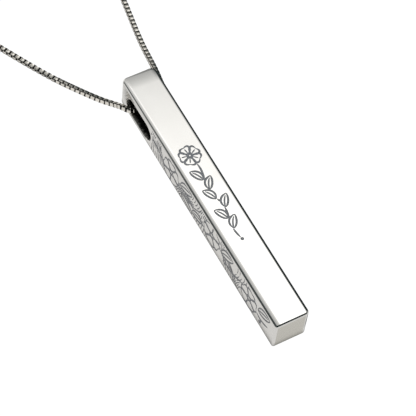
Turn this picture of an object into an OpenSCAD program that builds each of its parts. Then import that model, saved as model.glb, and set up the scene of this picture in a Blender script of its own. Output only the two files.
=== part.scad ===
// Necklace with a square bar pendant. The bar lies face up and its fine chain,
// threaded through a slot near the bar's end, is laid out beyond it as one whole loop.
// Millimetres. +Z points up out of the bar's front face and +Y along the bar towards
// the loop. The origin is the middle of the whole necklace, on the surface it lies on.

/* [Bar] */
// Length of the bar
bar_length = 41.5; // [36:0.5:48]
// Width and depth of the bar's square section
bar_side = 5; // [4.8:0.1:5.2]
// Rounding of the edges around the front face
front_edge_r = 0.3; // [0.2:0.05:0.4]
// Rounding of the edges around the back face
back_edge_r = 0.25; // [0.2:0.05:0.7]
// Rounding of the upright corners at the slotted end
slot_end_corner_r = 0.8; // [0.4:0.1:1]
// Rounding of the upright corners at the free end
free_end_corner_r = 0.45; // [0.2:0.05:0.8]

/* [Slot] */
// Width of the slot, from its wall near the back to its wall near the front
slot_width = 3; // [2.8:0.1:3.2]
// Length of the slot along the bar, round ends included
slot_length = 6.5; // [5:0.5:9]
// Metal left between the slot and the bar's end
slot_from_end = 2.2; // [1.8:0.1:3]

/* [Chain] */
// Thickness of the chain
chain_d = 0.7; // [0.6:0.02:0.72]

/* [Clasp] */
// Length of the barrel clasp
clasp_length = 9; // [9:0.5:10]
// Diameter of the barrel clasp
clasp_d = 2.6; // [2.6:0.1:3]
// Diameter of the hole that each end of the chain goes into
clasp_hole_d = 1; // [0.9:0.05:1.1]
// Depth of that hole
clasp_hole_depth = 1; // [0.8:0.1:1]

/* [Hidden] */
// Facets on round surfaces
$fn = 48;
// Amount by which a cutter passes the surface it cuts
over = 1;

// Height of the slot's lower wall above the surface
slot_floor = (bar_side - slot_width) / 2;
// Height of the clasp's axis, which is the barrel's own radius
clasp_z = clasp_d / 2;
// Height of the chain's centre line where it lies on the surface
chain_z = chain_d / 2;
// Clear space between the end of the chain and the bottom of its hole in the clasp
chain_end_gap = 0.1;
// How much narrower the barrel is at its two end faces, and how long that taper is
clasp_taper = 0.4;
// Width and depth of the groove round the middle of the clasp, where its halves meet
clasp_groove_w = 0.3;
clasp_groove_depth = 0.12;
// Place of the clasp's middle, from the bar's axis and from the slot's near end
clasp_x = -18;
clasp_along = 186.5;

// The chain's route from the slot to the clasp, on either side. Each row is the distance
// out from that side of the bar, the distance along from the slot's near end towards
// the loop, and the height.
left_route = [
    [-0.05, -1, slot_floor + 0.7],
    [0.65, 0, slot_floor + 0.55],
    [1, 1, 0.95],
    [1.9, 2.3, 0.55],
    [3.7, 4.7, 0.4],
    [6.5, 8.8, chain_z],
    [10.2, 15.4, chain_z],
    [23, 40.5, chain_z],
    [37, 69, chain_z],
    [51, 99, chain_z],
    [62.7, 125.5, chain_z],
    [67, 145, chain_z],
    [64.3, 160.5, chain_z],
    [56, 173, chain_z],
    [44, 181, chain_z],
    [31.5, 185.1, chain_z],
    [25.5, 186.2, 0.55],
    [21.5, 186.5, clasp_z - 0.05]
];
right_route = [
    [-0.05, -1, slot_floor + 0.7],
    [0.65, 0, slot_floor + 0.55],
    [1, 1.3, 1.1],
    [1.5, 3.9, 0.65],
    [2, 8.6, chain_z],
    [3, 15, chain_z],
    [6.7, 40, chain_z],
    [10.5, 68, chain_z],
    [14.1, 99, chain_z],
    [16.5, 129.5, chain_z],
    [16.1, 147.5, chain_z],
    [12, 163, chain_z],
    [3.8, 175, chain_z],
    [-6, 183, chain_z],
    [-11, 185.6, 0.5],
    [-14.5, 186.4, clasp_z - 0.1]
];
// Half the straight stretch of chain inside the slot, its place along and its height
slot_run = 1.3;
slot_run_along = -1.1;
slot_run_z = slot_floor + 0.6;

// Sides of the tube that stands for the chain, and its rings between two route points
chain_sides = 8;
chain_steps = 2;
// Radius at the tube's corners, whose flat sides are chain_d apart
chain_corner_r = chain_d / 2 / cos(180 / chain_sides);

function unit(v) = v / norm(v);
function reverse(list) = [for (i = [len(list) - 1:-1:0]) list[i]];

// A route point in the bar's own frame, where x is 0 on its axis and y is 0 at its slotted end
function beside(point, side) = [
    side * (bar_side / 2 + point[0]),
    point[1] - slot_from_end,
    point[2]
];
function in_slot(x) = [x, slot_run_along - slot_from_end, slot_run_z];
function clasp_end(side) = [
    clasp_x + side * (clasp_length / 2 - clasp_hole_depth + chain_end_gap),
    clasp_along - slot_from_end,
    clasp_z
];

route = concat(
    [clasp_end(-1)],
    reverse([for (point = left_route) beside(point, -1)]),
    [in_slot(-slot_run), in_slot(slot_run)],
    [for (point = right_route) beside(point, 1)],
    [clasp_end(1)]
);

// Direction of the route at point i, which leans towards the nearer neighbour
function heading(i) =
    i == 0 ? unit(route[1] - route[0])
    : i == len(route) - 1 ? unit(route[i] - route[i - 1])
    : let (
        back = route[i] - route[i - 1],
        ahead = route[i + 1] - route[i],
        span = norm(back) + norm(ahead)
    )
    unit(back) * norm(ahead) / span + unit(ahead) * norm(back) / span;

// Point at fraction t of the smooth curve from route point i to the next, kept from
// dipping into the surface that the chain lies on
function curve_point(i, t) =
    let (
        span = norm(route[i + 1] - route[i]),
        point = (2 * t ^ 3 - 3 * t ^ 2 + 1) * route[i]
            + (t ^ 3 - 2 * t ^ 2 + t) * span * heading(i)
            + (3 * t ^ 2 - 2 * t ^ 3) * route[i + 1]
            + (t ^ 3 - t ^ 2) * span * heading(i + 1)
    )
    [point[0], point[1], max(point[2], chain_z)];

path = [
    for (i = [0:len(route) - 2])
        for (step = [0:chain_steps - 1])
            curve_point(i, step / chain_steps),
    route[len(route) - 1]
];

// Direction of the path at point i, halfway between its two chords
function path_heading(i) = unit(
    path[min(i + 1, len(path) - 1)] - path[max(i - 1, 0)]
);

// Corners of one cross-section of the tube, with a flat side underneath
function ring(point, direction) =
    let (
        across = unit(cross(direction, [0, 0, 1])),
        up = cross(across, direction)
    )
    [
        for (k = [0:chain_sides - 1])
            let (angle = (k + 0.5) * 360 / chain_sides)
            point + chain_corner_r * (cos(angle) * across + sin(angle) * up)
    ];

// Middle of the whole necklace, measured in the bar's own frame
path_x = [for (point = path) point[0]];
centre_x = (min(path_x) + max(path_x)) / 2;
highest_y = clasp_along - slot_from_end + clasp_d / 2;
centre_y = (highest_y - bar_length) / 2;

// Rectangle about x = 0 from y = 0 up, with its own corner radius at the bottom and the top
module soft_rectangle(width, height, bottom_r, top_r) {
    translate([-width / 2, bottom_r])
        square([width, height - bottom_r - top_r]);
    translate([-width / 2 + bottom_r, 0])
        square([width - 2 * bottom_r, height / 2]);
    translate([-width / 2 + top_r, height / 2])
        square([width - 2 * top_r, height / 2]);
    for (side = [-1, 1]) {
        translate([side * (width / 2 - bottom_r), bottom_r])
            circle(r = bottom_r);
        translate([side * (width / 2 - top_r), height - top_r])
            circle(r = top_r);
    }
}

// The bar seen from above, from its side and along its length, each as a long prism
module bar_from_above() {
    translate([0, -bar_length, -over])
        linear_extrude(bar_side + 2 * over)
            soft_rectangle(bar_side, bar_length, free_end_corner_r, slot_end_corner_r);
}

module bar_from_the_side() {
    translate([-bar_side / 2 - over, -bar_length / 2, 0])
        rotate([90, 0, 90])
            linear_extrude(bar_side + 2 * over)
                soft_rectangle(bar_length, bar_side, back_edge_r, front_edge_r);
}

module bar_along_its_length() {
    translate([0, over, 0])
        rotate([90, 0, 0])
            linear_extrude(bar_length + 2 * over)
                soft_rectangle(bar_side, bar_side, back_edge_r, front_edge_r);
}

// The slot runs right through from side to side and its ends are round
module slot_cutter() {
    near = -slot_from_end - slot_width / 2;
    far = -slot_from_end - slot_length + slot_width / 2;
    translate([-bar_side / 2 - over, far, slot_floor])
        cube([bar_side + 2 * over, near - far, slot_width]);
    for (y = [near, far])
        translate([-bar_side / 2 - over, y, bar_side / 2])
            rotate([0, 90, 0])
                cylinder(h = bar_side + 2 * over, d = slot_width);
}

module bar() {
    color([0.80, 0.79, 0.77])
        difference() {
            intersection() {
                bar_from_above();
                bar_from_the_side();
                bar_along_its_length();
            }
            slot_cutter();
        }
}

// The chain as a tube swept along its route, from one end of the clasp to the other
module chain() {
    last = (len(path) - 1) * chain_sides;
    corners = [
        for (i = [0:len(path) - 1])
            each ring(path[i], path_heading(i))
    ];
    walls = [
        for (i = [0:len(path) - 2])
            for (k = [0:chain_sides - 1])
                let (
                    here = i * chain_sides,
                    next = here + chain_sides,
                    turn = (k + 1) % chain_sides
                )
                each [
                    [here + k, here + turn, next + turn],
                    [here + k, next + turn, next + k]
                ]
    ];
    start_cap = [for (k = [chain_sides - 1:-1:0]) k];
    end_cap = [for (k = [0:chain_sides - 1]) last + k];
    color([0.66, 0.65, 0.62])
        polyhedron(points = corners, faces = concat(walls, [start_cap, end_cap]));
}

// The barrel clasp lies on the surface with its axis along X
module clasp() {
    half = clasp_length / 2;
    body_r = clasp_d / 2;
    end_r = body_r - clasp_taper;
    groove_r = body_r - clasp_groove_depth;
    color([0.74, 0.73, 0.71])
        translate([clasp_x, clasp_along - slot_from_end, clasp_z])
            rotate([0, 90, 0])
                difference() {
                    rotate_extrude()
                        polygon([
                            [0, -half],
                            [end_r, -half],
                            [body_r, -half + clasp_taper],
                            [body_r, -clasp_groove_w / 2],
                            [groove_r, -clasp_groove_w / 2],
                            [groove_r, clasp_groove_w / 2],
                            [body_r, clasp_groove_w / 2],
                            [body_r, half - clasp_taper],
                            [end_r, half],
                            [0, half]
                        ]);
                    for (side = [-1, 1])
                        translate([0, 0, side * half])
                            cylinder(h = 2 * clasp_hole_depth, d = clasp_hole_d, center = true);
                }
}

module about_the_middle() {
    translate([-centre_x, -centre_y, 0])
        children();
}

about_the_middle() bar();
about_the_middle() chain();
about_the_middle() clasp();
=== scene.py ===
"""Looks of a square bar necklace: a polished bar with a floral engraving, threaded on a fine box chain.

Shapes are worked out in millimetres in the bar's own frame: x is 0 on the bar's axis, y is 0 at its
slotted end and grows along the loop of chain, and z is 0 on the surface that it all lies on.
"""

import itertools
import random
from math import cos, pi, radians, sin

import bpy
import numpy as np
from mathutils import Matrix, Vector
from mathutils.geometry import delaunay_2d_cdt


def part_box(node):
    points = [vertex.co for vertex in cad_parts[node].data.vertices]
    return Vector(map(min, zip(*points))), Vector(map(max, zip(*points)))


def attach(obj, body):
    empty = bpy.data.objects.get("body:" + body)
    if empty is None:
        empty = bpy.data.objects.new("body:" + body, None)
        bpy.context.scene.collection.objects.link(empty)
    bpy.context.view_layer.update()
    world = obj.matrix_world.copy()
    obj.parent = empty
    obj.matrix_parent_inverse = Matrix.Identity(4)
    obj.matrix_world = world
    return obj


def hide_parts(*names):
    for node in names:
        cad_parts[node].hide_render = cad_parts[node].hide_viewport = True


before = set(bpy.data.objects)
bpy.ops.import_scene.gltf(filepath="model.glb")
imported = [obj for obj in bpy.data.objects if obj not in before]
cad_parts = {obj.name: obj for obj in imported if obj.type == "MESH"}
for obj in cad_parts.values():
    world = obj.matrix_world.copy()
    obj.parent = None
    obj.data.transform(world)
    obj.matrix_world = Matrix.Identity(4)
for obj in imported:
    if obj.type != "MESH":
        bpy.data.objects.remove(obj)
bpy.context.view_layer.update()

MM = 0.001
BAR_LOW, BAR_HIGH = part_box("bar")
CLASP_LOW, CLASP_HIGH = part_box("clasp")
ORIGIN = Vector(((BAR_LOW.x + BAR_HIGH.x) / 2, BAR_HIGH.y, BAR_LOW.z))
UP = Vector((0, 0, 1))

# Bar, whose side and length are the frame's
BAR_SIDE = (BAR_HIGH.x - BAR_LOW.x) / MM
BAR_LENGTH = (BAR_HIGH.y - BAR_LOW.y) / MM
BAR_HALF = BAR_SIDE / 2
FRONT_EDGE_R = 0.3
# The front rolls off into its edges: up to this tilt on a large radius, and then on the edge's own
SHOULDER_R = 2.6
SHOULDER_TILT = radians(9.5)
# How much longer that large radius is at the slotted end
END_STRETCH = 4.5
FRONT_EDGE_DROP = SHOULDER_R * (1 - cos(SHOULDER_TILT)) + FRONT_EDGE_R * cos(SHOULDER_TILT)
BACK_EDGE_R = 0.25
SLOT_END_CORNER_R = 0.8
# Upright corners at the free end, of which one is worn rounder
FREE_LEFT_CORNER_R = 0.3
FREE_RIGHT_CORNER_R = 0.6
# How far the free end leans back towards its top
FREE_END_LEAN = 0.17
# How much shorter the slotted end is than the plain solid
SLOT_END_SHORT = 0.12
# How far the left side's lower edge draws in at the slotted end, and the height where it starts to
DRAWN_IN = 0.3
DRAWN_IN_HEIGHT = 1
# An inset corner's smallest radius
SMALLEST_CORNER_R = 0.04
# Corners seen from above: side, end, radius, angle where the corner starts, how much wider than tall
# the front's edge is across the bar and along it, and the same for the shoulder
CORNERS = [
    (1, -BAR_LENGTH, FREE_RIGHT_CORNER_R, -90, (0.95, 0.55), (0.6, 0.3)),
    (1, 0, SLOT_END_CORNER_R, 0, (0.95, 1.8), (0.6, END_STRETCH)),
    (-1, 0, SLOT_END_CORNER_R, 90, (1, 1.1), (1, END_STRETCH)),
    (-1, -BAR_LENGTH, FREE_LEFT_CORNER_R, 180, (1.4, 0.55), (1, 0.3)),
]
SLOT_R = 1.5
SLOT_NEAR = 2.2
SLOT_LENGTH = 6.5
SLOT_LIP_R = 0.15

# Steps round each kind of edge
CORNER_STEPS = 10
EDGE_STEPS = 8
SHOULDER_STEPS = 4
SLOT_STEPS = 20
LIP_STEPS = 4

# Depth of the engraving, and the ink-free rim left along a flat side's edges
ENGRAVED_DEPTH = 0.03
ENGRAVED_RIM = 0.02
# Twice the area below which a patch of ink is left out
SMALLEST_PATCH = 0.0001
MERGE_DISTANCE = 1e-5
INSIDE_TRIANGLES = 1

# One link: its length and height, and its strip's thickness, width and bevelled edge
LINK_LENGTH = 0.62
LINK_HEIGHT = 0.72
LINK_THICK = 0.08
LINK_WIDTH = 0.5
LINK_RIM = 0.02
# A quarter of a link's bulging outline: shares of half its length and of half its height, and the
# outward direction in degrees from the chain's own
LINK_OUTLINE = [(1, 0.66, 10), (0.9, 0.87, 45), (0.62, 0.98, 84)]
# The outer face is bright silver past this direction, and painted dark as shade where the links turn in on
# each other
LINK_BRIGHT_FROM = 40
# Distance from link to link
LINK_PITCH = 0.41


def to_frame(point):
    """A point of the bar's frame, in millimetres, as a point of the shared frame, in metres."""
    return ORIGIN + Vector(point) * MM


def pairs(loop):
    """Each item of a closed loop with the next one."""
    return zip(loop, loop[1:] + loop[:1])


def add_object(name, data):
    made = bpy.data.objects.new(name, data)
    bpy.context.scene.collection.objects.link(made)
    return made


# Meshes


def add_piece(name, points, faces, normals, material_numbers, materials):
    """A mesh object from points in metres, with a normal at every face corner."""
    mesh = bpy.data.meshes.new(name)
    mesh.from_pydata(points, [], faces)
    for material in materials:
        mesh.materials.append(material)
    mesh.polygons.foreach_set("material_index", material_numbers)
    mesh.polygons.foreach_set("use_smooth", [True] * len(faces))
    mesh.normals_split_custom_set(normals)
    mesh.update()
    return add_object(name, mesh)


class Shape:
    """Points and faces of one piece, in the bar's frame, with a normal at every face corner."""

    def __init__(self):
        self.points = []
        self.faces = []
        self.normals = []
        self.materials = []

    def point(self, place):
        self.points.append(Vector(place))
        return len(self.points) - 1

    def flat(self, corners, material=0):
        """A face with one normal, from point numbers."""
        spots = [self.points[c] for c in corners]
        normal = Vector()
        for here, ahead in pairs(spots):
            normal += here.cross(ahead)
        self.soft([(c, normal) for c in corners], material)

    def soft(self, corners, material=0):
        """A face from (point number, normal) corners."""
        self.faces.append([number for number, _ in corners])
        self.normals.extend(normal.normalized() for _, normal in corners)
        self.materials.append(material)

    def strip(self, ring, upper, material=0):
        """A band of faces between two closed rings of (point number, normal) corners."""
        for i in range(len(ring)):
            j = (i + 1) % len(ring)
            self.soft([ring[i], ring[j], upper[j], upper[i]], material)

    def piece(self, name, materials):
        points = [to_frame(p) for p in self.points]
        return add_piece(name, points, self.faces, self.normals, self.materials, materials)


class Plane:
    """A flat side of the bar. Its first axis runs from the slotted end, its second across."""

    along = Vector((0, -1, 0))

    def __init__(self, origin, across):
        self.origin = Vector(origin)
        self.across = Vector(across)
        self.normal = self.along.cross(self.across)

    def spot(self, point):
        away = point - self.origin
        return Vector((away.dot(self.along), away.dot(self.across)))

    def place(self, spot, depth=0.0):
        return self.origin + self.along * spot[0] + self.across * spot[1] - self.normal * depth


FRONT = Plane((0, 0, BAR_SIDE), (1, 0, 0))
LEFT = Plane((-BAR_HALF, 0, 0), (0, 0, 1))
RIGHT = Plane((BAR_HALF, 0, 0), (0, 0, -1))


# Line work

# The share of a line at either end in which it swells to its full width
TAPER_LENGTH = 0.25
# A flower: its petals, and its heart and the points along a petal's vein in shares of its radius
PETALS = 5
HEART = 0.17
VEIN = (0.3, 0.42, 0.54, 0.66, 0.78)
VEIN_TAPER = 0.3
# Half a petal's edge, half a leaf's and its midrib, as the four points of a cubic: how far along, and
# how far across in shares of a petal's even half width or of the leaf's length
PETAL_EDGE = [(0.22, 0), (0.42, 1.05), (1.12, 1.1025), (0.9, 0)]
LEAF_EDGE = [(0, 0), (0.25, 0.34), (0.75, 0.272), (1, 0)]
LEAF_RIB = [(0, 0), (0.3, 0), (0.7, 0), (1, 0)]
# How far out the dots round a heart are, and what later lines pass behind, in hearts
SEED_RING = 1.5
HEART_COVER = 1.8
# Pens of veins, dots round a heart, midribs and dots that end a line, in shares of the outline's
VEIN_PEN = 0.62
SEED_PEN = 0.42
RIB_PEN = 0.8
END_PEN = 0.9
# A tendril: its first steps in its size, the share of one that each next one loses, the degrees that
# the first one turns, and how much more each next one does
CURL_FINENESS = 7
CURL_SHRINK = 0.045
CURL_TURN = 9
CURL_TIGHTENING = 2.6
# Steps along or round a line
CURVE_STEPS = 12
PETAL_STEPS = 14
CURL_STEPS = 16
HATCH_STEPS = 40
DOT_STEPS = 7
SLOT_COVER_STEPS = 40


def cubic(start, pull_start, pull_end, end, steps=CURVE_STEPS):
    """Points along a cubic curve."""
    points = []
    for i in range(steps + 1):
        t = i / steps
        points.append(
            start * (1 - t) ** 3
            + pull_start * (3 * t * (1 - t) ** 2)
            + pull_end * (3 * t**2 * (1 - t))
            + end * t**3
        )
    return points


def circle(centre, radius, steps=CURVE_STEPS):
    return [centre + turned(Vector((radius, 0)), 360 * i / steps) for i in range(steps + 1)]


def turned(vector, degrees):
    """A flat vector turned anticlockwise."""
    c, s = cos(radians(degrees)), sin(radians(degrees))
    return Vector((vector.x * c - vector.y * s, vector.x * s + vector.y * c))


def signed_area(outline):
    """Twice the area of an outline, positive where it runs anticlockwise."""
    return sum(here.cross(ahead) for here, ahead in pairs(outline))


def inside(spot, outline):
    """Whether a spot is inside a closed outline."""
    odd = False
    for here, ahead in pairs(outline):
        if (here.y > spot.y) != (ahead.y > spot.y):
            share = (spot.y - here.y) / (ahead.y - here.y)
            odd ^= spot.x < here.x + share * (ahead.x - here.x)
    return odd


def cut(patch, axis, limit, sign):
    """The part of a convex patch on one side of a line."""
    kept = []
    for here, ahead in pairs(patch):
        a = sign * (limit - here[axis])
        b = sign * (limit - ahead[axis])
        if a >= 0:
            kept.append(here)
        if (a > 0) != (b > 0) and a != b:
            kept.append(here.lerp(ahead, a / (a - b)))
    return kept


class Art:
    """Line work on a flat side: convex patches of ink, and covers that later lines pass behind."""

    def __init__(self, low, high, pen_height=1.0):
        self.low = low
        self.high = high
        self.pen_height = pen_height
        self.patches = []
        self.covers = []

    def cover(self, outline):
        self.covers.append(outline)

    def covered(self, spot):
        return any(inside(spot, outline) for outline in self.covers)

    def patch(self, corners):
        """Adds a convex patch, cut to the area that may hold ink."""
        for axis in (0, 1):
            corners = cut(corners, axis, self.high[axis], 1)
            corners = cut(corners, axis, self.low[axis], -1) if corners else corners
        if abs(signed_area(corners)) > SMALLEST_PATCH:
            self.patches.append(corners)

    def line(self, points, width, taper=0.45):
        """Inks a line where no cover hides it, a little thinner at both its ends."""
        for hidden, run in itertools.groupby(points, self.covered):
            run = list(run)
            if not hidden and len(run) > 1:
                self.ribbon(run, width, taper)

    def ribbon(self, points, width, taper):
        last = len(points) - 1
        sides = []
        for i, point in enumerate(points):
            along = (points[min(i + 1, last)] - points[max(i - 1, 0)]).normalized()
            swell = taper + (1 - taper) * min(1, min(i, last - i) / (last * TAPER_LENGTH))
            across = Vector((-along.y, along.x * self.pen_height)) * (width / 2 * swell)
            sides.append((point + across, point - across))
        for (left, right), (next_left, next_right) in zip(sides, sides[1:]):
            self.patch([right, next_right, next_left])
            self.patch([right, next_left, left])

    def dot(self, centre, radius):
        if not self.covered(centre):
            self.patch(circle(centre, radius, DOT_STEPS)[:-1])


def drawn(start, along, across, rows, sign, bend=0, steps=CURVE_STEPS):
    """The edge on one side of a petal or leaf, or a midrib, with its middle bent across."""
    shifts = (0, bend, bend, 0)
    spots = (start + along * a + across * (b * sign + shift) for (a, b), shift in zip(rows, shifts))
    return cubic(*spots, steps)


def blossom(art, centre, radius, turn, width, veined=True):
    """An open flower with notched petals, with or without a vein in each and dots at the middle."""
    heart = HEART * radius
    art.line(circle(centre, heart), width, 1)
    outlines = []
    for k in range(PETALS):
        out = turned(Vector((radius, 0)), turn + 360 * k / PETALS)
        side = turned(out, 90) * sin(radians(180 / PETALS))
        halves = [drawn(centre, out, side, PETAL_EDGE, sign, steps=PETAL_STEPS) for sign in (1, -1)]
        for half in halves:
            art.line(half, width)
        outlines.append(halves[0] + halves[1][-2:0:-1])
        if veined:
            art.line([centre + out * share for share in VEIN], width * VEIN_PEN, VEIN_TAPER)
    if veined:
        for k in range(2 * PETALS):
            away = turned(Vector((heart * SEED_RING, 0)), turn + 180 * k / PETALS)
            art.dot(centre + away, width * SEED_PEN)
    for outline in outlines:
        art.cover(outline)
    art.cover(circle(centre, heart * HEART_COVER))


def leaf(art, base, tip, width, bend):
    """A pointed leaf with a midrib, bent to one side."""
    length = tip - base
    side = Vector((-length.y, length.x))
    halves = [drawn(base, length, side, LEAF_EDGE, sign, bend) for sign in (1, -1)]
    for half in halves:
        art.line(half, width)
    art.line(drawn(base, length, side, LEAF_RIB, 0, bend)[:-2], width * RIB_PEN)
    art.cover(halves[0] + halves[1][-2:0:-1])


def curl(art, start, direction, size, width, hand):
    """A tendril that winds up to one side, ending in a dot."""
    points = [start]
    for i in range(CURL_STEPS):
        step = size * (1 - CURL_SHRINK * i) / CURL_FINENESS
        points.append(points[-1] + turned(Vector((step, 0)), direction))
        direction += hand * (CURL_TURN + CURL_TIGHTENING * i)
    art.line(points, width)
    art.dot(points[-1], width * END_PEN)


# The side's flowers: middle, by distance from the slotted end and height, radius and turn in degrees
SIDE_BLOSSOMS = [((14.4, 2.5), 2.1, 20), ((25.2, 2.9), 2.1, 50), ((35, 2.3), 2, 5)]
# Its leaves: base, tip and bend
SIDE_LEAVES = [
    ((16.8, 2.9), (19.8, 4.3), 0.1),
    ((17.2, 1.7), (20.4, 0.9), -0.1),
    ((22.9, 2.2), (20.2, 1.4), -0.1),
    ((27.8, 2.6), (30.6, 4.2), 0.1),
    ((37.2, 2.9), (40, 4.2), 0.08),
]
# Its tendrils: start, direction in degrees, size, and the side that each winds to
SIDE_CURLS = [((11.6, 3.2), 160, 1.1, -1), ((28.4, 1.6), -20, 1.2, 1), ((37.6, 1.8), -10, 1.2, -1)]
# Its sheaves of shading lines from the lower edge to the upper: where the first and the last start,
# where they end, how far the lines swing on the way, and how many there are
SIDE_SHEAVES = [
    ((8.9, 13), (9.2, 11.6), 1.2, 9),
    ((15.6, 18.6), (17.8, 22), -1.2, 9),
    ((20.6, 23.6), (22.4, 23.8), 0.9, 6),
    ((28.6, 31.8), (27.6, 29.4), 1.2, 8),
    ((31.2, 32.6), (31.6, 34.4), -0.9, 6),
]
SIDE_PEN = 0.2
HATCH_PEN = 0.14
FRONT_PEN = 0.3
# The side's lines are this much wider up the side than along it
SIDE_PEN_HEIGHT = 2
# How far round the slot the side is bare, and up to where beside it
SLOT_MARGIN = 0.25
BARE_END = SLOT_NEAR + SLOT_LENGTH - 1
# Stems: their points' start, spacing and number; and their waves: height, radians in a millimetre and
# radians at the start
SIDE_STEM = (9, 0.15, 206)
SIDE_WAVE = (0.7, 0.78, 0.2)
FRONT_STEM = (16, 0.25, 49)
FRONT_WAVE = (0.28, 0.95, -14.25)
# The front's flower, with its radius and turn; its leaves' start, spacing and number, and the base, tip
# and bend of each; and its last dot
FRONT_BLOSSOM = (14.5, 1.5, 190)
FRONT_LEAVES = (18.6, 1.6, 6)
FRONT_LEAF_BASE = (-0.1, 0.12)
FRONT_LEAF_TIP = (-1.9, 1.2)
FRONT_LEAF_BEND = 0.12
FRONT_DOT = 28.3
# A shading line's upright start, its fewest and most steps before the first dash, in a dash and in a
# gap, the fewest left for a dash, and its taper
HATCH_RISE = 2
HATCH_FIRST = (0, 6)
HATCH_DASH = (12, 30)
HATCH_GAP = (1, 4)
HATCH_LEFT = 4
HATCH_TAPER = 0.5


def spaced(first, step, count):
    return [first + step * k for k in range(count)]


def on_stem(along, middle, wave, pace, phase):
    """A place on a stem that waves about a middle height."""
    return Vector((along, middle + wave * sin(along * pace + phase)))


def side_engraving():
    """A branch in flower from beside the slot to the free end, with sheaves of lines behind it."""
    art = Art(
        Vector((SLOT_NEAR, BACK_EDGE_R + ENGRAVED_RIM)),
        Vector((
            BAR_LENGTH - FREE_LEFT_CORNER_R - FREE_END_LEAN - ENGRAVED_RIM,
            BAR_SIDE - FRONT_EDGE_DROP - ENGRAVED_RIM,
        )),
        SIDE_PEN_HEIGHT,
    )
    centre = Vector((SLOT_NEAR + SLOT_LENGTH - SLOT_R, BAR_HALF))
    art.cover(circle(centre, SLOT_R + SLOT_LIP_R + SLOT_MARGIN, SLOT_COVER_STEPS)[:-1])
    art.cover([Vector(p) for p in ((0, 0), (BARE_END, 0), (BARE_END, BAR_SIDE), (0, BAR_SIDE))])
    for middle, radius, turn in SIDE_BLOSSOMS:
        blossom(art, Vector(middle), radius, turn, SIDE_PEN, veined=False)
    for base, tip, bend in SIDE_LEAVES:
        leaf(art, Vector(base), Vector(tip), SIDE_PEN, bend)
    for start, direction, size, hand in SIDE_CURLS:
        curl(art, Vector(start), direction, size, SIDE_PEN, hand)
    art.line([on_stem(along, BAR_HALF, *SIDE_WAVE) for along in spaced(*SIDE_STEM)], SIDE_PEN)
    draw = random.Random(7)
    for bottoms, tops, swing, count in SIDE_SHEAVES:
        pull = Vector((swing, HATCH_RISE))
        for k in range(count):
            share = k / (count - 1)
            start = Vector((bottoms[0] + (bottoms[1] - bottoms[0]) * share, 0))
            end = Vector((tops[0] + (tops[1] - tops[0]) * share, BAR_SIDE))
            line = cubic(start, start + pull, end - pull, end, HATCH_STEPS)
            first = draw.randint(*HATCH_FIRST)
            while first < len(line) - HATCH_LEFT:
                last = first + draw.randint(*HATCH_DASH)
                art.line(line[first:last], HATCH_PEN, HATCH_TAPER)
                first = last + draw.randint(*HATCH_GAP)
    return art.patches


def front_engraving():
    """A small sprig in flower on the middle of the front."""
    art = Art(
        Vector((SLOT_END_CORNER_R, -BAR_HALF)),
        Vector((BAR_LENGTH - FREE_RIGHT_CORNER_R, BAR_HALF)),
    )
    along, radius, turn = FRONT_BLOSSOM
    blossom(art, Vector((along, 0)), radius, turn, FRONT_PEN)
    for k, along in enumerate(spaced(*FRONT_LEAVES)):
        foot = on_stem(along, 0, *FRONT_WAVE)
        mirror = Vector((1, 1 if k % 2 else -1))
        base = foot + Vector(FRONT_LEAF_BASE) * mirror
        tip = foot + Vector(FRONT_LEAF_TIP) * mirror
        leaf(art, base, tip, FRONT_PEN, FRONT_LEAF_BEND * mirror.y)
    art.line([on_stem(along, 0, *FRONT_WAVE) for along in spaced(*FRONT_STEM)], FRONT_PEN)
    art.dot(on_stem(FRONT_DOT, 0, *FRONT_WAVE), FRONT_PEN * END_PEN)
    return art.patches


def triangles_in_ink(places, triangles, patches):
    """Whether the middle of each triangle is in one of the patches, which are convex."""
    middles = np.array([tuple(p) for p in places])[np.array(triangles)].mean(axis=1)
    order = np.argsort(middles[:, 0])
    ranked = middles[order, 0]
    found = np.zeros(len(triangles), bool)
    for patch in patches:
        corners = np.array([tuple(p) for p in patch])
        first, last = np.searchsorted(ranked, (corners[:, 0].min(), corners[:, 0].max()))
        near = order[first:last]
        runs = np.roll(corners, -1, axis=0) - corners
        aside = middles[near][:, None, :] - corners
        turns = runs[:, 0] * aside[:, :, 1] - runs[:, 1] * aside[:, :, 0]
        found[near] |= np.all(turns >= 0, axis=1) | np.all(turns <= 0, axis=1)
    return found


def lay_panel(shape, plane, boundary, hole, patches, face_material=0, ink_material=0):
    """Fills a flat side between its boundary and a hole, with the patches sunk into it."""
    numbers = boundary + hole
    spots = [plane.spot(shape.points[c]) for c in numbers]
    loops = [list(range(len(boundary)))]
    if hole:
        loops.append(list(range(len(boundary), len(numbers))))
    for loop in loops:
        if signed_area([spots[i] for i in loop]) < 0:
            loop.reverse()
    edges = []
    for patch in patches:
        edges += pairs(list(range(len(spots), len(spots) + len(patch))))
        spots += patch
    places, _, triangles, sources, _, owners = delaunay_2d_cdt(
        spots, edges, loops, INSIDE_TRIANGLES, MERGE_DISTANCE
    )
    in_ink = triangles_in_ink(places, triangles, patches)
    top = []
    for place, source in zip(places, sources):
        kept = [s for s in source if s < len(numbers)]
        top.append(numbers[kept[0]] if kept else shape.point(plane.place(place)))
    floor = {}

    def sunk(i):
        if i not in floor:
            floor[i] = shape.point(plane.place(places[i], ENGRAVED_DEPTH))
        return floor[i]

    inked = set()
    for triangle, owner, sunken in zip(triangles, owners, in_ink):
        if hole and 1 in owner:
            continue
        if not sunken:
            shape.flat([top[i] for i in triangle], face_material)
            continue
        shape.flat([sunk(i) for i in triangle], ink_material)
        inked.update(pairs(triangle))
    for i, j in sorted(inked):
        if (j, i) not in inked:
            shape.flat([top[i], top[j], sunk(j), sunk(i)], ink_material)


# Bar

POLISHED, BRUSHED, SATIN, FRONT_INK, SIDE_INK, SLOT_WALL = range(6)


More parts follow.
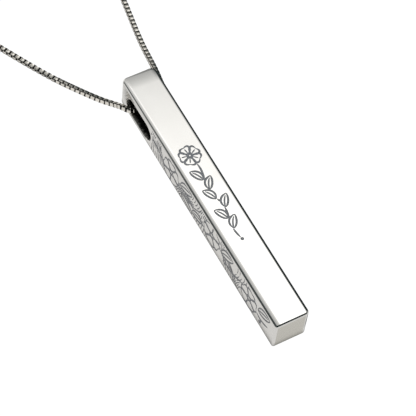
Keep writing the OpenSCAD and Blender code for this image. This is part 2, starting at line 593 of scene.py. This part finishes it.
def outline_ring(shape, height, level, rise, inset=0.0, edge=0.0, shoulder=0.0, part="back"):
    """A ring round the bar, inset all round and by each corner's own share of edge and shoulder."""
    ring = []
    for side, end, full_radius, first, edge_wide, shoulder_wide in CORNERS:
        x_inset, y_inset = (
            inset + edge * more + shoulder * most for more, most in zip(edge_wide, shoulder_wide)
        )
        x_radius = max(full_radius - x_inset, SMALLEST_CORNER_R)
        y_radius = max(full_radius - y_inset, SMALLEST_CORNER_R)
        x_wide, y_wide = {"back": (1, 1), "edge": edge_wide, "shoulder": shoulder_wide}[part]
        inwards = 1 if end else -1
        lean = SLOT_END_SHORT
        if end:
            lean = FREE_END_LEAN * (height - BACK_EDGE_R) / (BAR_SIDE - BACK_EDGE_R)
        x = side * (BAR_HALF - x_inset - x_radius)
        y = end + inwards * (y_inset + y_radius + max(lean, 0))
        for i in range(CORNER_STEPS + 1):
            angle = radians(first + 90 * i / CORNER_STEPS)
            out = Vector((cos(angle), sin(angle)))
            number = shape.point((x + x_radius * out.x, y + y_radius * out.y, height))
            ring.append((number, Vector((out.x * level / x_wide, out.y * level / y_wide, rise))))
    return ring


def slot_ring(shape, x, grow, facing, level):
    """A ring round the slot at one x, grown outwards by an amount, as corners with normals."""
    ring = []
    radius = SLOT_R + grow
    for centre, first in ((-SLOT_NEAR - SLOT_R, -90), (-SLOT_NEAR - SLOT_LENGTH + SLOT_R, 90)):
        for i in range(SLOT_STEPS + 1):
            angle = radians(first + 180 * i / SLOT_STEPS)
            out = Vector((0, cos(angle), sin(angle)))
            number = shape.point((x, centre + radius * out.y, BAR_HALF + radius * out.z))
            ring.append((number, Vector((facing, 0, 0)) - out * level))
    return ring


def bar_walls(shape):
    """The rings from the back up to the front, and the lowest and highest of the flat sides."""
    rings = []
    for i in range(EDGE_STEPS + 1):
        angle = radians(90 * i / EDGE_STEPS)
        inset = BACK_EDGE_R * (1 - sin(angle))
        height = BACK_EDGE_R * (1 - cos(angle))
        rings.append(outline_ring(shape, height, sin(angle), -cos(angle), inset))
    for i in range(EDGE_STEPS + 1):
        tilt = pi / 2 + (SHOULDER_TILT - pi / 2) * i / EDGE_STEPS
        edge = FRONT_EDGE_R * (1 - sin(tilt))
        height = BAR_SIDE - FRONT_EDGE_DROP + FRONT_EDGE_R * cos(tilt)
        part = "edge" if i < EDGE_STEPS else "shoulder"
        rings.append(outline_ring(shape, height, sin(tilt), cos(tilt), edge=edge, part=part))
    for i in range(1, SHOULDER_STEPS + 1):
        tilt = SHOULDER_TILT * (1 - i / SHOULDER_STEPS)
        run = SHOULDER_R * (sin(SHOULDER_TILT) - sin(tilt))
        height = BAR_SIDE - SHOULDER_R * (1 - cos(tilt))
        rings.append(outline_ring(
            shape, height, sin(tilt), cos(tilt), edge=edge, shoulder=run, part="shoulder",
        ))
    for i, (ring, upper) in enumerate(zip(rings, rings[1:])):
        if i != EDGE_STEPS:
            shape.strip(ring, upper, POLISHED)
    return rings[0], rings[EDGE_STEPS], rings[EDGE_STEPS + 1], rings[-1]


def slot_through(shape):
    """The slot's wall and its two rounded lips, and the lips' outer rings, right and left."""
    rings = []
    for side in (1, -1):
        lip = []
        for i in range(LIP_STEPS + 1):
            angle = radians(90 * i / LIP_STEPS)
            x = side * (BAR_HALF - SLOT_LIP_R * (1 - cos(angle)))
            grow = SLOT_LIP_R * (1 - sin(angle))
            lip.append(slot_ring(shape, x, grow, side * cos(angle), sin(angle)))
        rings.append(lip if side > 0 else lip[::-1])
    for lip in rings:
        for ring, next_ring in zip(lip, lip[1:]):
            shape.strip(ring, next_ring, POLISHED)
    shape.strip(rings[0][-1], rings[1][0], SLOT_WALL)
    return rings[0][0], rings[1][-1]


def draw_in(shape):
    """Draws the left side's lower edge in, more and more towards the slotted end."""
    for point in shape.points:
        if point.z < DRAWN_IN_HEIGHT:
            near = 1 + point.y / BAR_LENGTH
            aside = max(-point.x / BAR_HALF, 0)
            point.x += DRAWN_IN * near * aside * (1 - point.z / DRAWN_IN_HEIGHT) ** 2


def make_bar():
    shape = Shape()
    back, low, high, front = bar_walls(shape)
    right_lip, left_lip = slot_through(shape)
    step = CORNER_STEPS + 1
    for corner in range(4):
        first = corner * step
        for i in range(first, first + CORNER_STEPS):
            shape.soft([low[i], low[i + 1], high[i + 1], high[i]], POLISHED)

    def side(corner):
        """The four corners of the flat side after one rounded corner."""
        a = corner * step + CORNER_STEPS
        b = (a + 1) % len(low)
        return [low[a][0], low[b][0], high[b][0], high[a][0]]

    def numbers(ring):
        return [number for number, _ in ring]

    lay_panel(shape, RIGHT, side(0), numbers(right_lip), [], POLISHED)
    shape.flat(side(1), POLISHED)
    lay_panel(shape, LEFT, side(2), numbers(left_lip), side_engraving(), BRUSHED, SIDE_INK)
    shape.flat(side(3), SATIN)
    lay_panel(shape, FRONT, numbers(front), [], front_engraving(), POLISHED, FRONT_INK)
    shape.flat(numbers(reversed(back)), POLISHED)
    draw_in(shape)
    return shape


# Chain

SLOT_FLOOR = BAR_HALF - SLOT_R
CHAIN_Z = 0.35
# The clasp's barrel lies on the surface
CLASP_R = CLASP_Z = (CLASP_HIGH.z - CLASP_LOW.z) / MM / 2
CLASP_X = ((CLASP_LOW.x + CLASP_HIGH.x) / 2 - ORIGIN.x) / MM
CLASP_Y = ((CLASP_LOW.y + CLASP_HIGH.y) / 2 - ORIGIN.y) / MM
CLASP_LENGTH = (CLASP_HIGH.x - CLASP_LOW.x) / MM

# The chain's route on either side: distance out from that side of the bar, distance along from the
# slot's near end towards the loop, and height if off the surface
LEFT_ROUTE = [
    (-0.05, -1, SLOT_FLOOR + 0.7),
    (0.65, 0, SLOT_FLOOR + 0.55),
    (1, 1, 0.95),
    (1.9, 2.3, 0.55),
    (3.7, 4.7, 0.4),
    (6.5, 8.8), (10.2, 15.4), (23, 40.5), (37, 69), (51, 99), (62.7, 125.5), (67, 145),
    (64.3, 160.5), (56, 173), (44, 181), (31.5, 185.1),
    (25.5, 186.2, 0.55),
    (21.5, 186.5, CLASP_Z - 0.05),
]
RIGHT_ROUTE = [
    (-0.05, -1, SLOT_FLOOR + 0.7),
    (0.65, 0, SLOT_FLOOR + 0.55),
    (1, 1.3, 1.1),
    (1.5, 3.9, 0.65),
    (2, 8.6), (3, 15), (6.7, 40), (10.5, 68), (14.1, 99), (16.5, 129.5), (16.1, 147.5),
    (12, 163), (3.8, 175), (-6, 183),
    (-11, 185.6, 0.5),
    (-14.5, 186.4, CLASP_Z - 0.1),
]
SLOT_RUN = 1.3
SLOT_RUN_Y = -1.1 - SLOT_NEAR
SLOT_RUN_Z = SLOT_FLOOR + 0.6
CLASP_HOLE_DEPTH = 1
CHAIN_END_GAP = 0.1
# Room left under the links where they lie on the surface
CHAIN_CLEARANCE = 0.006

# Turn of the links about the chain's run, in degrees, by place along the bar's y, on either side
LEFT_TURNS = [
    (-2.5, -26), (0.5, -22), (2.5, -18), (4.2, -13), (5.8, -9), (6.5, 9), (9.4, 9), (10.4, 2), (14, 1),
]
RIGHT_TURNS = [(-2.5, 32), (-0.5, 26), (1.5, 12), (3.5, 4), (10, 1), (14, 0)]
# How much further any one link may be turned, at most
TURN_JITTER = 2
# How far up the links point along the chain's run, in radians, on the right; and at most any one link
RIGHT_LEANS = [(9.6, 0), (10.8, 0.05)]
LEAN_JITTER = 0.025
# Space between links as a share of a taut chain's, by place along y, on either side
LEFT_SPACING = [(-2.5, 0.86), (6, 0.92), (20, 1)]
RIGHT_SPACING = [(-2.5, 0.78), (6, 0.79), (10, 0.82), (14, 0.87), (24, 1)]
# The links left of the bar's axis are the left side's within this share of the route
LEFT_SHARE = 0.6
ROUTE_STEPS = 24


def chain_route():
    """Points from the left end of the clasp down the left side, through the slot and back up."""
    reach = CLASP_LENGTH / 2 - CLASP_HOLE_DEPTH + CHAIN_END_GAP
    halves = []
    for side, rows in ((-1, LEFT_ROUTE), (1, RIGHT_ROUTE)):
        half = [Vector((side * SLOT_RUN, SLOT_RUN_Y, SLOT_RUN_Z))]
        for out, along, *height in rows:
            half.append(Vector((side * (BAR_HALF + out), along - SLOT_NEAR, *(height or [CHAIN_Z]))))
        half.append(Vector((CLASP_X + side * reach, CLASP_Y, CLASP_Z)))
        halves.append(half)
    return halves[0][::-1] + halves[1]


def heading(route, i):
    """Direction of the route at point i, which leans towards the nearer neighbour."""
    if i == 0:
        return (route[1] - route[0]).normalized()
    if i == len(route) - 1:
        return (route[i] - route[i - 1]).normalized()
    back = route[i] - route[i - 1]
    ahead = route[i + 1] - route[i]
    span = back.length + ahead.length
    return back.normalized() * (ahead.length / span) + ahead.normalized() * (back.length / span)


def chain_path():
    """Close points along the smooth curve through the route, kept above the surface."""
    route = chain_route()
    points = []
    for i, (start, end) in enumerate(zip(route, route[1:])):
        third = (end - start).length / 3
        pull = start + heading(route, i) * third
        end_pull = end - heading(route, i + 1) * third
        points += cubic(start, pull, end_pull, end, ROUTE_STEPS)[:-1]
    for point in points:
        point.z = max(point.z, CHAIN_Z)
    return points + [route[-1]]


def by_place(rows, y):
    return float(np.interp(y, *zip(*rows)))


def link_places():
    """Place, heading, turn and lean of each link, from one end of the clasp round to the other."""
    path = np.array([tuple(p) for p in chain_path()])
    run = np.concatenate([[0], np.cumsum(np.linalg.norm(np.diff(path, axis=0), axis=1))])
    total = run[-1]

    def at(s):
        return Vector([float(np.interp(s, run, path[:, axis])) for axis in range(3)])

    places = []
    s = LINK_LENGTH / 2
    while s < total - LINK_LENGTH / 2:
        spot = at(s)
        ahead = (at(min(s + LINK_PITCH, total)) - at(max(s - LINK_PITCH, 0))).normalized()
        left = spot.x < 0 and s < total * LEFT_SHARE
        lean = 0 if left else by_place(RIGHT_LEANS, spot.y)
        places.append((spot, ahead, by_place(LEFT_TURNS if left else RIGHT_TURNS, spot.y), lean))
        s += LINK_PITCH * by_place(LEFT_SPACING if left else RIGHT_SPACING, spot.y)
    return places


def link_shape():
    """Points, faces and face-corner normals of one link: along the chain, out and across."""
    top = [*LINK_OUTLINE, (0, 1, 90)] + [(-x, y, 180 - out) for x, y, out in reversed(LINK_OUTLINE)]
    stations = []
    for x, y, degrees in top + [(-x, -y, 180 + out) for x, y, out in top]:
        angle = radians(degrees)
        corner = np.array([x * LINK_LENGTH / 2, y * LINK_HEIGHT / 2, 0])
        stations.append((corner, np.array([cos(angle), sin(angle), 0])))
    across = np.array([0, 0, 1])
    half = LINK_WIDTH / 2
    # Inset from the outer face, place across, and the normals' tilt before and after each edge
    section = [
        (0, half - LINK_RIM, 8, 8),
        (-LINK_RIM, half, 76, 90),
        (-LINK_THICK, half, 90, 180),
        (-LINK_THICK, -half, 180, -90),
        (-LINK_RIM, -half, -90, -76),
        (0, -half + LINK_RIM, -8, -8),
    ]
    points = [
        corner + out * inset + across * place
        for corner, out in stations
        for inset, place, _, _ in section
    ]
    size = len(section)
    faces = []
    normals = []
    dark = []
    for i in range(len(stations)):
        j = (i + 1) % len(stations)
        for a in range(size):
            b = (a + 1) % size
            faces.append((i * size + a, j * size + a, j * size + b, i * size + b))
            after, before = section[a][3], section[b][2]
            for station, tilt in ((i, after), (j, after), (j, before), (i, before)):
                lean = radians(tilt)
                normals.append(stations[station][1] * cos(lean) + across * sin(lean))
            # Faces that are not outer faces turned out enough take the dark material: painted shade
            # between the links
            facing = abs(stations[i][1][1] + stations[j][1][1]) / 2
            bright = a in (size - 2, size - 1, 0) and facing > sin(radians(LINK_BRIGHT_FROM))
            dark.append(0 if bright else 1)
    return np.array(points), np.array(faces), np.array(normals), dark


def make_chain(materials):
    """All the links in one mesh, each a quarter turn from the one before."""
    points, faces, normals, dark = link_shape()
    draw = random.Random(11)
    links = []
    for number, (spot, ahead, turn, lean) in enumerate(link_places()):
        level = ahead.cross(UP).normalized()
        angle = radians(turn + draw.uniform(-TURN_JITTER, TURN_JITTER))
        lean += draw.uniform(-LEAN_JITTER, LEAN_JITTER)
        lowest = LINK_HEIGHT / 2 * cos(angle) + LINK_WIDTH / 2 * abs(sin(angle))
        lowest += LINK_LENGTH / 2 * abs(lean)
        spot.z = max(spot.z, lowest + CHAIN_CLEARANCE)
        across = Matrix.Rotation(angle, 3, ahead) @ level
        up = across.cross(ahead)
        ahead = (ahead + up * lean).normalized()
        out, side = (up, across) if number % 2 else (across, -up)
        axes = np.array([tuple(ahead), tuple(out), tuple(side)])
        place = np.array(tuple(to_frame(spot)))
        links.append((points * MM @ axes + place, faces + number * len(points), normals @ axes))
    data = [np.concatenate(each).tolist() for each in zip(*links)]
    return add_piece("box_chain", *data, dark * len(links), materials)


# Clasp

CLASP_HOLE_R = 0.5
CLASP_SIDES = 48
CLASP_FILLET_STEPS = 4
# How far towards a corner its rounding is pulled
CLASP_FILLET_PULL = 0.6
CLASP_END = CLASP_LENGTH / 2
CLASP_HOLE_BOTTOM = CLASP_END - CLASP_HOLE_DEPTH
# Half its profile, from the bottom of the chain's hole to the groove where its halves meet:
# distance from the middle, radius, and how far from each corner its rounding starts
CLASP_PROFILE = [
    (CLASP_HOLE_BOTTOM, 0, 0),
    (CLASP_HOLE_BOTTOM, CLASP_HOLE_R, 0.05),
    (CLASP_END, CLASP_HOLE_R, 0.08),
    (CLASP_END, CLASP_R - 0.34, 0.2),
    (CLASP_END - 0.4, CLASP_R, 0.25),
    (0.15, CLASP_R, 0.06),
    (0.15, CLASP_R - 0.12, 0.03),
    (0, CLASP_R - 0.12, 0),
]


def rounded_profile(rows):
    """The corners of a profile as flat vectors, with a small curve at each that has a rounding."""
    points = []
    for i, (along, radius, rounding) in enumerate(rows):
        corner = Vector((along, radius))
        if not rounding:
            points.append(corner)
            continue
        before, after = (
            corner + (Vector(row[:2]) - corner).normalized() * rounding
            for row in (rows[i - 1], rows[i + 1])
        )
        pull, end_pull = (spot.lerp(corner, CLASP_FILLET_PULL) for spot in (before, after))
        points += cubic(before, pull, end_pull, after, CLASP_FILLET_STEPS)
    return points


def make_clasp():
    """A plain barrel with its axis along x, rounded at its ends, and a groove round its middle."""
    shape = Shape()
    half = rounded_profile(CLASP_PROFILE)
    profile = half + [Vector((-p.x, p.y)) for p in half[-2::-1]]
    centre = Vector((CLASP_X, CLASP_Y, CLASP_Z))

    def out(k):
        angle = 2 * pi * k / CLASP_SIDES
        return Vector((0, cos(angle), sin(angle)))

    tips = [shape.point(centre + Vector((profile[i].x, 0, 0))) for i in (0, -1)]
    rings = [
        [shape.point(centre + Vector((p.x, 0, 0)) + out(k) * p.y) for k in range(CLASP_SIDES)]
        for p in profile[1:-1]
    ]
    for k in range(CLASP_SIDES):
        ahead = (k + 1) % CLASP_SIDES
        shape.flat([tips[0], rings[0][k], rings[0][ahead]])
        shape.flat([tips[1], rings[-1][ahead], rings[-1][k]])
    for i, (ring, upper) in enumerate(zip(rings, rings[1:])):
        run = profile[i + 2] - profile[i + 1]
        facing = Vector((run.y, -run.x)).normalized()
        normals = [Vector((facing.x, 0, 0)) + out(k) * facing.y for k in range(CLASP_SIDES)]
        shape.strip(list(zip(upper, normals)), list(zip(ring, normals)))
    return shape


# Materials

# The part of a noise's range over which a material runs from one look to the other
NOISE_LOW = 0.3
NOISE_HIGH = 0.7
# The painted shade deep in the slot: how ragged its edge is, and how far past the bar's side it is black
# and bare
SLOT_SHADE_RAGGED = 1.2
SLOT_SHADE_BLACK = -0.1
SLOT_SHADE_BARE = 0.7
INK_TINT = (0.97, 0.985, 1.04)
INK_VARIATION = 0.1


class Nodes:
    """The nodes of a material or of the world. Each input is a plain value or another node's output."""

    def __init__(self, tree):
        self.tree = tree

    def put(self, value, socket):
        if isinstance(value, bpy.types.NodeSocket):
            self.tree.links.new(value, socket)
        else:
            socket.default_value = value

    def add(self, kind, inputs, **settings):
        """A node from its kind, its inputs by name or number, and its settings."""
        node = self.tree.nodes.new(kind)
        for setting, value in settings.items():
            setattr(node, setting, value)
        for key, value in inputs.items():
            self.put(value, node.inputs[key])
        return node

    def math(self, operation, *values):
        return self.add("ShaderNodeMath", dict(enumerate(values)), operation=operation).outputs["Value"]

    def past(self, value, limit):
        """How far a number is past a limit, or 0."""
        return self.math("MAXIMUM", self.math("SUBTRACT", value, limit), 0)

    def spread(self, source, start, end, low=0, high=1):
        """A number that runs from low to high while the source runs from start to end."""
        inputs = {"Value": source, "From Min": start, "From Max": end, "To Min": low, "To Max": high}
        return self.add("ShaderNodeMapRange", inputs).outputs["Result"]

    def tone(self, source, dark, light):
        """A colour that runs from dark to light with the source."""
        node = self.add("ShaderNodeValToRGB", {"Fac": source})
        ends = ((NOISE_LOW, dark), (NOISE_HIGH, light))
        for element, (position, colour) in zip(node.color_ramp.elements, ends):
            element.position = position
            element.color = (*colour, 1)
        return node.outputs["Color"]

    def place(self, kind):
        return self.add("ShaderNodeTexCoord", {}).outputs[kind]

    def split(self, vector):
        """The x, y and z of a place or direction."""
        node = self.add("ShaderNodeSeparateXYZ", {"Vector": vector})
        return [node.outputs[axis] for axis in "XYZ"]

    def noise(self, scale, detail, stretch=(1, 1, 1)):
        """A noise over the object, stretched along its axes."""
        mapping = self.add("ShaderNodeMapping", {"Vector": self.place("Object"), "Scale": stretch})
        inputs = {"Vector": mapping.outputs["Vector"], "Scale": scale, "Detail": detail}
        return self.add("ShaderNodeTexNoise", inputs).outputs["Fac"]


def new_material(name, colour, metallic, roughness):
    """A material, its nodes and its shader's inputs, which hold the fixed values."""
    material = bpy.data.materials.new(name)
    material.use_nodes = True
    inputs = material.node_tree.nodes["Principled BSDF"].inputs
    inputs["Base Color"].default_value = (*colour, 1)
    inputs["Metallic"].default_value = metallic
    inputs["Roughness"].default_value = roughness
    return material, Nodes(material.node_tree), inputs


def grained(name, colour, metallic, roughness, noise, tones, roughnesses=None, bump=None):
    """A material that varies with a noise, given by its scale and detail, and its stretch if any.

    Its colour runs between two tones and, where given, its roughness between two values and its
    surface by a bump's strength and distance.
    """
    material, nodes, inputs = new_material(name, colour, metallic, roughness)
    source = nodes.noise(*noise)
    nodes.put(nodes.tone(source, *tones), inputs["Base Color"])
    if roughnesses:
        nodes.put(nodes.spread(source, NOISE_LOW, NOISE_HIGH, *roughnesses), inputs["Roughness"])
    if bump:
        strength, distance = bump
        risen = nodes.add("ShaderNodeBump", {"Strength": strength, "Distance": distance, "Height": source})
        nodes.put(risen.outputs["Normal"], inputs["Normal"])
    return material


def polished_silver():
    tones = ((0.585, 0.57, 0.545), (0.615, 0.6, 0.575))
    return grained("polished_silver", (0.6, 0.585, 0.56), 1, 0.14, (260, 4), tones, (0.06, 0.1))


def brushed_silver():
    tones = ((0.53, 0.516, 0.488), (0.6, 0.584, 0.554))
    noise = (1500, 6, (1, 0.05, 1))
    bump = (0.2, 0.01 * MM)
    return grained("brushed_silver", (0.58, 0.565, 0.54), 1, 0.3, noise, tones, (0.14, 0.26), bump)


def satin_silver():
    tones = ((0.455, 0.437, 0.39), (0.478, 0.46, 0.412))
    return grained("satin_silver", (0.465, 0.448, 0.4), 1, 0.28, (300, 4), tones, (0.24, 0.32))


def engraved_ink(name, lightness):
    """The bluish grey that fills the engraved lines."""
    colour = Vector(INK_TINT) * lightness
    tones = (colour * (1 - INK_VARIATION), colour * (1 + INK_VARIATION))
    return grained(name, colour, 0, 0.6, (6000, 2), tones)


def slot_wall():
    """The slot's wall, which is left rough, with painted shade that turns it black further in."""
    material, nodes, inputs = new_material("slot_wall", (0.2, 0.19, 0.17), 0.4, 0.5)
    x, _, _ = nodes.split(nodes.place("Object"))
    aside = nodes.math("ABSOLUTE", nodes.math("SUBTRACT", x, ORIGIN.x))
    grain = nodes.noise(2500, 5, (0.3, 1, 1))
    reach = nodes.math("MULTIPLY_ADD", grain, SLOT_SHADE_RAGGED * MM, aside)
    unshaded = nodes.spread(reach, (BAR_HALF + SLOT_SHADE_BLACK) * MM, (BAR_HALF + SLOT_SHADE_BARE) * MM)
    # Painted shade: black deep in the slot, running out to the bare metal's colour near its mouths
    nodes.put(nodes.tone(unshaded, (0.004, 0.004, 0.003), (0.5, 0.475, 0.43)), inputs["Base Color"])
    return material


def chain_silver():
    tones = ((0.59, 0.56, 0.505), (0.71, 0.675, 0.615))
    return grained("chain_silver", (0.645, 0.615, 0.555), 1, 0.16, (900, 3), tones, (0.12, 0.22))


def chain_painted_shade():
    """Painted shade on the unpolished insides, strip edges and turned-in bends of the links, dark where
    they lie in each other's shade.
    """
    tones = ((0.02, 0.018, 0.015), (0.07, 0.064, 0.055))
    return grained("chain_painted_shade", (0.06, 0.056, 0.05), 1, 0.4, (1400, 3), tones)


def clasp_silver():
    tones = ((0.66, 0.645, 0.62), (0.76, 0.745, 0.72))
    noise = (500, 4, (1, 3, 3))
    return grained("clasp_silver", (0.72, 0.705, 0.68), 1, 0.16, noise, tones, (0.12, 0.22))


# Stage

WHITE = (1, 1, 1, 1)

# Camera, aimed at a point in the bar's frame, at a distance in millimetres
CAMERA_TARGET = (-0.784, -21.243, 2.5)
CAMERA_AZIMUTH = radians(-38.286)
CAMERA_ELEVATION = radians(58.81)
CAMERA_ROLL = radians(10.672)
CAMERA_DISTANCE = 293.396
CAMERA_LENS = 196.75
CAMERA_SENSOR = 36
# The nearest and furthest that it sees, in metres
CAMERA_RANGE = (0.01, 20)


def make_camera():
    data = bpy.data.cameras.new("camera")
    data.lens = CAMERA_LENS
    data.sensor_width = CAMERA_SENSOR
    data.clip_start, data.clip_end = CAMERA_RANGE
    back = Vector((
        sin(CAMERA_AZIMUTH) * cos(CAMERA_ELEVATION),
        -cos(CAMERA_AZIMUTH) * cos(CAMERA_ELEVATION),
        sin(CAMERA_ELEVATION),
    ))
    level = (-back).cross(UP).normalized()
    upright = level.cross(-back)
    right = level * cos(CAMERA_ROLL) + upright * sin(CAMERA_ROLL)
    up = upright * cos(CAMERA_ROLL) - level * sin(CAMERA_ROLL)
    place = to_frame(CAMERA_TARGET) + back * CAMERA_DISTANCE * MM
    camera = add_object("camera", data)
    camera.matrix_world = Matrix.Translation(place) @ Matrix((right, up, back)).transposed().to_4x4()
    bpy.context.scene.camera = camera


# The floor's width in metres, its grey, and how bright it looks to the camera, mirrored in the metal,
# and mirrored where it is painted dark, a painted reflection in place of a dark screen
FLOOR_SIZE = 6
FLOOR_GREY = 0.12
FLOOR_ROUGHNESS = 0.9
FLOOR_SEEN = 1.02
FLOOR_MIRRORED = 0.95
FLOOR_PAINTED_DARK = 0.03
# The painted dark is on the bar's right, from its free end on, and shows only in reflections. It sets in
# over a distance away from the bar and one along it, and it starts further out beside the chain, from one
# y to another
PAINTED_DARK_FADE = 1.2
PAINTED_DARK_END_FADE = 1
PAINTED_DARK_SHIFT = 3
PAINTED_DARK_SHIFT_START = 2
PAINTED_DARK_SHIFT_END = 8
# The shade close to what lies on the floor: how far it reaches, how deep it is, and its samples
CONTACT_REACH = 0.6
CONTACT_DEPTH = 2
CONTACT_SAMPLES = 8


def make_floor():
    bpy.ops.mesh.primitive_plane_add(size=FLOOR_SIZE, location=(0, 0, 0))
    floor = bpy.context.object
    floor.name = "floor"
    material, nodes, inputs = new_material("pale_floor", (FLOOR_GREY,) * 3, 0, FLOOR_ROUGHNESS)
    inputs["Emission Color"].default_value = WHITE
    x, y, _ = nodes.split(nodes.place("Object"))
    side = ORIGIN.x + BAR_HALF * MM
    # Painted reflection: for rays that don't come from the camera the floor glows darker on the bar's
    # right, and the contact shade darkens it close to what lies on it
    shift = nodes.spread(
        y, ORIGIN.y + PAINTED_DARK_SHIFT_START * MM, ORIGIN.y + PAINTED_DARK_SHIFT_END * MM, 0, PAINTED_DARK_SHIFT * MM
    )
    right = nodes.spread(nodes.math("SUBTRACT", x, shift), side, side + PAINTED_DARK_FADE * MM)
    free_end = ORIGIN.y - BAR_LENGTH * MM
    along = nodes.spread(y, free_end - PAINTED_DARK_END_FADE * MM, free_end)
    painted_dark = nodes.math("MULTIPLY", right, along)
    mirrored = nodes.spread(painted_dark, 0, 1, FLOOR_MIRRORED, FLOOR_PAINTED_DARK)
    reach = {"Distance": CONTACT_REACH * MM}
    contact = nodes.add("ShaderNodeAmbientOcclusion", reach, samples=CONTACT_SAMPLES)
    contact = nodes.math("POWER", contact.outputs["AO"], CONTACT_DEPTH)
    mirrored = nodes.math("MULTIPLY", contact, mirrored)
    seen = nodes.add("ShaderNodeLightPath", {}).outputs["Is Camera Ray"]
    nodes.put(nodes.spread(seen, 0, 1, mirrored, FLOOR_SEEN), inputs["Emission Strength"])
    floor.data.materials.append(material)


# The soft strip light overhead, in slopes away from straight up along x and y. It starts at a slanting
# line on its left, and runs out to its right and towards the near end. Towards the far end it fades
# from a direction with this y on, and reaches further right from an earlier one
LIGHT_LEFT = 0.58
LIGHT_SLANT = 0.5
LIGHT_LEFT_FADE = 0.12
LIGHT_RIGHT = 0.88
LIGHT_RIGHT_FADE = 0.5
LIGHT_RIGHT_TURN = 0.385
LIGHT_RIGHT_REACH = 3.1
LIGHT_RIGHT_SPREAD = 5.5
LIGHT_FAR = 0.444
LIGHT_FAR_FADE = 0.1
LIGHT_NEAR = -0.25
LIGHT_NEAR_FADE = 0.08
LIGHT_STRENGTH = 1.83
DARK_STUDIO = (0.008, 0.022, 0.024)
# Below this height a direction's slopes grow no further
LOWEST_DIRECTION = 0.01
# A light low on the left, as far as the far end: where its x and its y start, and its soft edges
SIDE_LIGHT_X = -0.7
SIDE_LIGHT_X_FADE = 0.15
SIDE_LIGHT_Y = 0.415
SIDE_LIGHT_Y_FADE = 0.05
# Other soft lights round the studio: direction, strength and sharpness
SOFT_LIGHTS = [
    ((-0.2, 0.93, 0.3), 1.5, 9),
    ((-0.93, -0.35, 0.1), 1, 12),
    ((0.85, -0.5, 0.15), 0.8, 12),
]


def strip_light(nodes, x, y, z):
    """How bright the strip light is in a direction."""
    height = nodes.math("MAXIMUM", z, LOWEST_DIRECTION)
    slope_x = nodes.math("DIVIDE", x, height)
    slope_y = nodes.math("DIVIDE", y, height)
    aside = nodes.math("SUBTRACT", nodes.math("MULTIPLY_ADD", slope_y, LIGHT_SLANT, slope_x), LIGHT_LEFT)
    fade = nodes.math("DIVIDE", nodes.math("MINIMUM", aside, 0), LIGHT_LEFT_FADE)
    fade = nodes.math("MULTIPLY_ADD", nodes.past(y, LIGHT_FAR), -1 / LIGHT_FAR_FADE, fade)
    fade = nodes.math("MULTIPLY_ADD", nodes.past(LIGHT_NEAR, slope_y), -1 / LIGHT_NEAR_FADE, fade)
    turn = nodes.past(y, LIGHT_RIGHT_TURN)
    right_end = nodes.math("MULTIPLY_ADD", turn, LIGHT_RIGHT_REACH, LIGHT_RIGHT)
    right_fade = nodes.math("MULTIPLY_ADD", turn, LIGHT_RIGHT_SPREAD, LIGHT_RIGHT_FADE)
    inwards = nodes.math("SUBTRACT", right_end, slope_x)
    strength = nodes.spread(inwards, 0, right_fade, 0, LIGHT_STRENGTH)
    return nodes.math("MULTIPLY", nodes.math("EXPONENT", fade), strength)


def side_light(nodes, x, y):
    """How bright the low light on the left is in a direction."""
    left = nodes.spread(x, SIDE_LIGHT_X, SIDE_LIGHT_X - SIDE_LIGHT_X_FADE)
    far = nodes.spread(y, SIDE_LIGHT_Y, SIDE_LIGHT_Y + SIDE_LIGHT_Y_FADE)
    return nodes.math("MULTIPLY", left, far)


def make_sky():
    """The studio's soft lights round dark surroundings, and a pale backdrop."""
    world = bpy.data.worlds.new("studio")
    world.use_nodes = True
    bpy.context.scene.world = world
    nodes = Nodes(world.node_tree)
    direction = nodes.place("Generated")
    x, y, z = nodes.split(direction)
    total = nodes.math("ADD", strip_light(nodes, x, y, z), side_light(nodes, x, y))
    for middle, strength, sharpness in SOFT_LIGHTS:
        inputs = {0: direction, 1: Vector(middle).normalized()}
        towards = nodes.add("ShaderNodeVectorMath", inputs, operation="DOT_PRODUCT").outputs["Value"]
        falling = nodes.math("MULTIPLY", nodes.math("SUBTRACT", towards, 1), sharpness)
        total = nodes.math("MULTIPLY_ADD", nodes.math("EXPONENT", falling), strength, total)
    lights = nodes.add("ShaderNodeBackground", {"Color": WHITE, "Strength": total})
    dark = nodes.add("ShaderNodeBackground", {"Color": (*DARK_STUDIO, 1)})
    backdrop = nodes.add("ShaderNodeBackground", {"Color": WHITE})
    studio = nodes.add("ShaderNodeAddShader", {0: lights.outputs[0], 1: dark.outputs[0]})
    seen = nodes.add("ShaderNodeLightPath", {}).outputs["Is Camera Ray"]
    mix = nodes.add("ShaderNodeMixShader", {0: seen, 1: studio.outputs[0], 2: backdrop.outputs[0]})
    nodes.put(mix.outputs[0], world.node_tree.nodes["World Output"].inputs["Surface"])


# A round light overhead: place and size in metres, and power in watts
SOFTBOX_PLACE = (0.1, 0.15, 0.9)
SOFTBOX_SIZE = 0.6
SOFTBOX_POWER = 0.5


def make_light():
    data = bpy.data.lights.new("softbox", "AREA")
    data.shape = "DISK"
    data.size = SOFTBOX_SIZE
    data.energy = SOFTBOX_POWER
    light = add_object("softbox", data)
    light.location = SOFTBOX_PLACE
    light.rotation_euler = light.location.to_track_quat("Z", "Y").to_euler()


bpy.context.scene.view_settings.view_transform = "Standard"
make_camera()
make_floor()
make_sky()
make_light()

bar = make_bar().piece("engraved_bar", [
    polished_silver(),
    brushed_silver(),
    satin_silver(),
    engraved_ink("front_line", 0.55),
    engraved_ink("side_line", 0.2),
    slot_wall(),
])
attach(bar, "root")
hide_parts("bar")

chain = make_chain([chain_silver(), chain_painted_shade()])
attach(chain, "root")
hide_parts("chain")

clasp = make_clasp().piece("barrel_clasp", [clasp_silver()])
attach(clasp, "root")
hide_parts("clasp")
